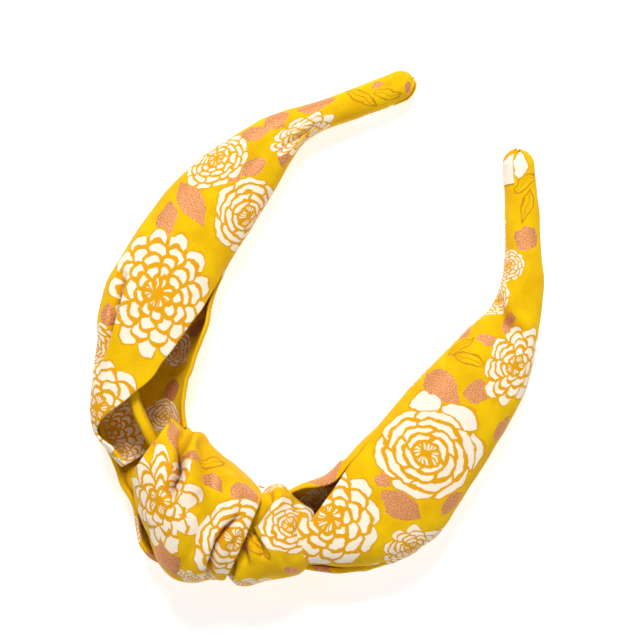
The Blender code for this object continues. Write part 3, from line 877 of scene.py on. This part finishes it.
def twisted_thread(name):
    """Sewing thread with the slant of its twist."""
    n = Nodes(name)
    twist = n.add("ShaderNodeTexWave", {"Vector": n.on_object(), "Scale": 900.0},
                  bands_direction="DIAGONAL").outputs[1]
    colour = n.mix(twist, linear(236, 184, 20), linear(200, 146, 8), "RGBA")
    n.set(Base_Color=colour, Normal=n.bump(twist, 0.5, 0.00006), Roughness=0.6, Specular_IOR_Level=0.3)
    return n.material


def band_cloth(name):
    """The plain stretch of the same cotton that covers the band."""
    return printed_cloth(name, [((60.0, 60.0), (2.0, 2.0), 0, (6, 0.1, 0.0))],
                         [((-33.0, -6.5), (5.0, 1.4), 8, OUTLINE), ((40.0, 5.0), (5.0, 2.0), 30, FOIL)])


# ---- cloth pieces

def tip_rounding(s):
    """How full a section is near a tip, from 1 down to almost 0 at the very end."""
    into_tip = np.clip((np.abs(s) - (TIP_END - TIP_ROUND)) / TIP_ROUND, 0.0, 1.0)
    return np.sqrt(np.maximum(1.0 - into_tip**2, TIP_CLOSED))


def room_below(s):
    """How far the band's centreline is above cloth that lies on the table."""
    return above_table(at_band(s, 0.0, 0.0)) - LYING_HEIGHT


def in_columns(values, count):
    """One value for each row of a grid, repeated across its columns."""
    return np.repeat(values[:, None], count, axis=1)


def wrap_cloth(s, wide, angle, rim, inward):
    """Places of a wrap on the flat cloth: by the arc from its top, or from its rim on the inner page."""
    top_arc = arc_from_top(*wide, angle - 360.0)
    to_rim = arc_from_top(*wide, in_columns(rim, WRAP_COLUMNS))
    rim_arc = arc_from_top(*wide, np.minimum(angle, 270.0)) - to_rim
    inner_side = angle < INNER_PAGE_ENDS
    arc = np.where(inner_side, -inward[:, None] - rim_arc, top_arc)
    cloth = cloth_place(in_columns(s, WRAP_COLUMNS), arc)
    cloth[..., 0] += np.where(inner_side, INNER_PAGE, 0.0)
    return cloth


def wrap(name, table, side, finish, creases, seed):
    """One arm's wrapped strip, with its two free edges folded under."""
    distances = np.linspace(table[0][0], TIP_END - LAST_ROW_GAP, WRAP_ROWS)
    out, inward, up, rim, upper = smooth_rows(table, distances).T
    full = tip_rounding(distances)
    s = side * distances
    down = np.minimum(room_below(s), FULLNESS_BELOW * up)
    share = np.linspace(0.0, 1.0, WRAP_COLUMNS)
    angle = rim[:, None] + (360.0 + upper - rim)[:, None] * share
    wide = [in_columns(size * full, WRAP_COLUMNS) for size in (out, inward, up, down)]
    wide.append(in_columns(wall_slope(s), WRAP_COLUMNS))
    u, v = section(*wide, angle)
    grid = at_band(s[:, None], u, v)
    cloth = wrap_cloth(s, wide, angle, rim, inward)
    grid = ruffle(grid, WRAP_WAVES, seed)
    grid, cloth = press_creases(grid, cloth, 1.0, creases)
    middle = at_band(s, 0.0, 0.0)
    for edge in ("last_column", "first_column"):
        grid, cloth = hem(grid, cloth, edge, WRAP_HEM, middle)
    sheet_mesh(name, grid, cloth, finish)


def lobe(name, table, angles, finish, creases, seed, ends=None, skew=(0.0, 0.0), columns=110, rows=80,
         edges=("first_row",)):
    """One pass of the strip round the band; skew slants its two ends where they turn outward."""
    ends = ends or (table[0][0], table[-1][0])
    share = np.linspace(0.0, 1.0, rows)[:, None]
    angle = np.repeat(np.linspace(*angles, columns)[None, :], rows, axis=0)
    lean = np.cos(np.radians(angle))
    start = ends[0] + skew[0] * lean
    end = ends[1] + skew[1] * lean
    s = start + (end - start) * share
    out, inward, up = np.moveaxis(smooth_rows(table, s.ravel()).reshape(rows, columns, 3), -1, 0)
    down = np.maximum(room_below(s), 1.0)
    u, v = section(out, inward, up, down, SECTION_POWER, angle)
    grid = at_band(s, u, v)
    cloth = cloth_place(s, arc_from_top(out, inward, up, down, SECTION_POWER, angle))
    grid = ruffle(grid, LOBE_WAVES, seed)
    grid, cloth = press_creases(grid, cloth, -2.0, creases)
    middle = at_band((table[0][0] + table[-1][0]) / 2, 0.0, 0.0)
    for edge in edges:
        grid, cloth = hem(grid, cloth, edge, LOBE_HEM, middle)
    sheet_mesh(name, grid, cloth, finish)


def tip_flap(name, table, side, finish, angles, reach):
    """The end of the strip, folded over a tip and tucked against one side of it."""
    distances = np.linspace(TIP_END - reach, TIP_END - LAST_ROW_GAP, FLAP_ROWS)
    out, inward, up = smooth_rows(table, distances).T[:3]
    full = tip_rounding(distances)
    angle = np.repeat(np.linspace(*angles, FLAP_COLUMNS)[None, :], FLAP_ROWS, axis=0)
    s = in_columns(side * (distances + FLAP_OVERHANG * (1.0 - full)), FLAP_COLUMNS)
    down = np.minimum(room_below(s[:, 0]), FULLNESS_BELOW * up)
    wide = [in_columns(size * full + FLAP_STANDOFF, FLAP_COLUMNS) for size in (out, inward, up, down)]
    u, v = section(*wide, SECTION_POWER, angle)
    cloth = cloth_place(s, u) + (FLAP_PAGE, 0.0)
    grid = ruffle(at_band(s, u, v), FLAP_WAVES, 21.0)
    sheet_mesh(name, grid, cloth, finish)


def covered_band(name, start, end, finish):
    """The band's own cover: a flat closed tube with round edges."""
    s = np.linspace(start, end, COVER_ROWS)
    turn = np.radians(np.linspace(0.0, 360.0, COVER_COLUMNS))
    half_width = COVER_HALF_WIDTH - COVER_TAPER * (np.abs(s) / TIP_END) ** COVER_TAPER_POWER
    u = COVER_HALF_THICKNESS * squared(np.cos(turn), COVER_SQUARENESS[0])
    v = half_width[:, None] * squared(np.sin(turn), COVER_SQUARENESS[1])
    grid = at_band(s[:, None], u[None, :], v)
    cloth = cloth_place(in_columns(s, COVER_COLUMNS), COVER_ARC * turn[None, :])
    grid = ruffle(grid, COVER_WAVES, 2.0)
    sheet_mesh(name, grid, cloth, finish, lift=0.0, thickness=COVER_CLOTH)


def declare(name, body, nodes):
    """Hides the CAD pieces that a cloth piece replaces and attaches it to its body; cloth along an arm only
    has its transform baked.
    """
    made = bpy.data.objects[name]
    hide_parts(*nodes)
    if isinstance(body, str):
        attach(made, body)
        return
    arm, start, end = body
    world_point(start)
    world_point(end)
    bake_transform(made)


def world_point(s):
    """Where the band's centreline is in the frame, at a distance along it."""
    return tuple(to_world(at_band(np.array([s]), 0.0, 0.0))[0])


def arm_print(name, table, flowers, leaves, inner_flowers, inner_leaves, rim_leaves, fill):
    """The print of one arm's wrap: on its upper side, on its rim, inside its pocket and over the rest."""
    return printed_cloth(name, on_top(flowers, table) + inside(inner_flowers, table) + fill[0],
                         on_top(leaves, table) + on_rim(rim_leaves) + inside(inner_leaves, table) + fill[1])


def lobe_print(name, table, flowers, leaves, fill):
    """The print of one pass of the knot."""
    return printed_cloth(name, on_top(flowers, table) + fill[0], on_top(leaves, table) + fill[1])


def make_wraps():
    """The two arms' wraps, their flaps at the tips, and the layer that shows under the right one."""
    fill = joined(scattered(-180, -24, step=19.0, offset=29.0, seed=0.4),
                  on_rim_both(scattered(-178, -82, step=21.0, offset=-8.0, seed=0.9)))
    finish = arm_print("left_print", LEFT_WRAP, LEFT_FLOWERS, LEFT_LEAVES, LEFT_INNER_FLOWERS,
                       LEFT_INNER_LEAVES, [], fill)
    wrap("left_wrap_cloth", LEFT_WRAP, -1, finish, LEFT_CREASES, seed=1.0)
    tip_flap("left_tip_flap", LEFT_WRAP, -1, finish, angles=(172, 262), reach=9.0)

    fill = joined(scattered(30, 180, step=19.0, offset=31.0, seed=1.1),
                  on_rim_both(scattered(80, 178, step=21.0, offset=-8.0, seed=2.2)))
    finish = arm_print("right_print", RIGHT_WRAP, RIGHT_FLOWERS, RIGHT_LEAVES, RIGHT_INNER_FLOWERS,
                       RIGHT_INNER_LEAVES, RIGHT_RIM_LEAVES, fill)
    wrap("right_wrap_cloth", RIGHT_WRAP, 1, finish, RIGHT_CREASES, seed=4.0)
    tip_flap("right_tip_flap", RIGHT_WRAP, 1, finish, angles=(118, 250), reach=12.0)
    lobe("right_under_layer", UNDER_LAYER, (-80, 12), finish, [], seed=15.0, columns=46, rows=60,
         edges=("last_column",))


def make_knot():
    """The three visible passes of the knot."""
    fill = scattered(-40, 45, step=21.0, offset=46.0, seed=2.0)
    finish = lobe_print("knot_print", FRONT_LOBE, FRONT_FLOWERS, FRONT_LEAVES, fill)
    lobe("knot_front_cloth", FRONT_LOBE, (-38, 258), finish, FRONT_CREASES, seed=7.0,
         ends=(-24.2, 16.6), skew=(5.0, -1.5), rows=100, edges=("first_row", "last_row"))
    lobe("knot_rear_cloth", REAR_PASS, (-105, -14), finish, [], seed=12.0, columns=50, rows=90,
         edges=("last_column",))
    finish = lobe_print("second_print", SECOND_LOBE, SECOND_FLOWERS, SECOND_LEAVES, fill)
    lobe("knot_second_cloth", SECOND_LOBE, (-95, 262), finish, SECOND_CREASES, seed=9.0)


def make_cover():
    """The band's cover, in two lengths that meet under the knot."""
    finish = band_cloth("band_print")
    covered_band("band_cover_left", -TIP_END + 5.0, -2.0, finish)
    covered_band("band_cover_right", -2.0, TIP_END - 5.0, finish)


def finish_hard_pieces():
    """Procedural materials for the CAD pieces that stay as they are."""
    finishes = {
        plastic("milky_plastic"): ("core_band_left", "core_band_crown", "core_band_right"),
        dried_glue("dried_glue"): ("left_tip_glue", "right_tip_glue"),
        twisted_thread("twisted_thread"): ("knot_tack_stitch",),
    }
    for finish, nodes in finishes.items():
        for node in nodes:
            bpy.data.objects[node].material_slots[0].material = finish


make_wraps()
make_knot()
make_cover()
finish_hard_pieces()

# Arm, and two distances along the band, for the cloth that lies along each arm
LEFT_BEND = ("left_arm", -20.0, -46.0)
RIGHT_BEND = ("right_arm", 26.0, 50.0)

# Each sheet: the body it moves with or the arm it lies along, and the CAD pieces it stands for
declare("left_wrap_cloth", LEFT_BEND, ["left_wrap"])
declare("right_wrap_cloth", RIGHT_BEND, ["right_wrap"])
declare("knot_front_cloth", "crown", ["knot_front_lobe", "knot_inner_pass"])
declare("knot_second_cloth", "crown", ["knot_second_lobe"])
declare("knot_rear_cloth", LEFT_BEND, ["knot_rear_pass"])
declare("right_under_layer", RIGHT_BEND, [])
declare("left_tip_flap", "left_arm", ["left_tip_fold"])
declare("right_tip_flap", "right_arm", ["right_tip_fold"])
declare("band_cover_left", LEFT_BEND, ["sleeve_left", "sleeve_crown"])
declare("band_cover_right", RIGHT_BEND, ["sleeve_right"])


# ---- camera, light and floor

CAMERA_PLACE = (-0.0031, 0.0052, 0.665)
CAMERA_TURN = math.radians(35.93)
CAMERA_LENS = 109.7


def look_down():
    """The camera, straight above."""
    data = bpy.data.cameras.new("camera")
    data.lens = CAMERA_LENS
    camera = bpy.data.objects.new("camera", data)
    camera.location = CAMERA_PLACE
    camera.rotation_euler = (0.0, 0.0, CAMERA_TURN)
    bpy.context.scene.collection.objects.link(camera)
    bpy.context.scene.camera = camera


def softbox(name, place, size, watts):
    """A square light that faces the middle of the band."""
    data = bpy.data.lights.new(name, "AREA")
    data.shape = "SQUARE"
    data.size = size
    data.energy = watts
    light = bpy.data.objects.new(name, data)
    light.location = place
    light.rotation_euler = (-Vector(place)).to_track_quat("-Z", "Y").to_euler()
    bpy.context.scene.collection.objects.link(light)


def studio():
    """A pale room, two soft lights and a paper floor."""
    world = bpy.data.worlds.new("studio")
    world.use_nodes = True
    world.node_tree.nodes["Background"].inputs["Color"].default_value = (1.0, 1.0, 1.0, 1.0)
    world.node_tree.nodes["Background"].inputs["Strength"].default_value = 0.30
    bpy.context.scene.world = world
    bpy.context.scene.view_settings.view_transform = "Standard"
    softbox("key_light", (-0.5, 0.62, 1.05), size=0.35, watts=14.5)
    softbox("fill_light", (0.4, -0.15, 1.25), size=0.8, watts=2.6)
    floor = Nodes("paper_floor")
    floor.set(Base_Color=(0.82, 0.83, 0.84, 1.0), Roughness=0.9, Emission_Color=(1.0, 1.0, 1.0, 1.0),
              Emission_Strength=0.55)
    bpy.ops.mesh.primitive_plane_add(size=6.0, location=(0.0, 0.0, 0.0))
    plane = bpy.context.object
    plane.name = "floor"
    plane.data.materials.append(floor.material)


look_down()
studio()
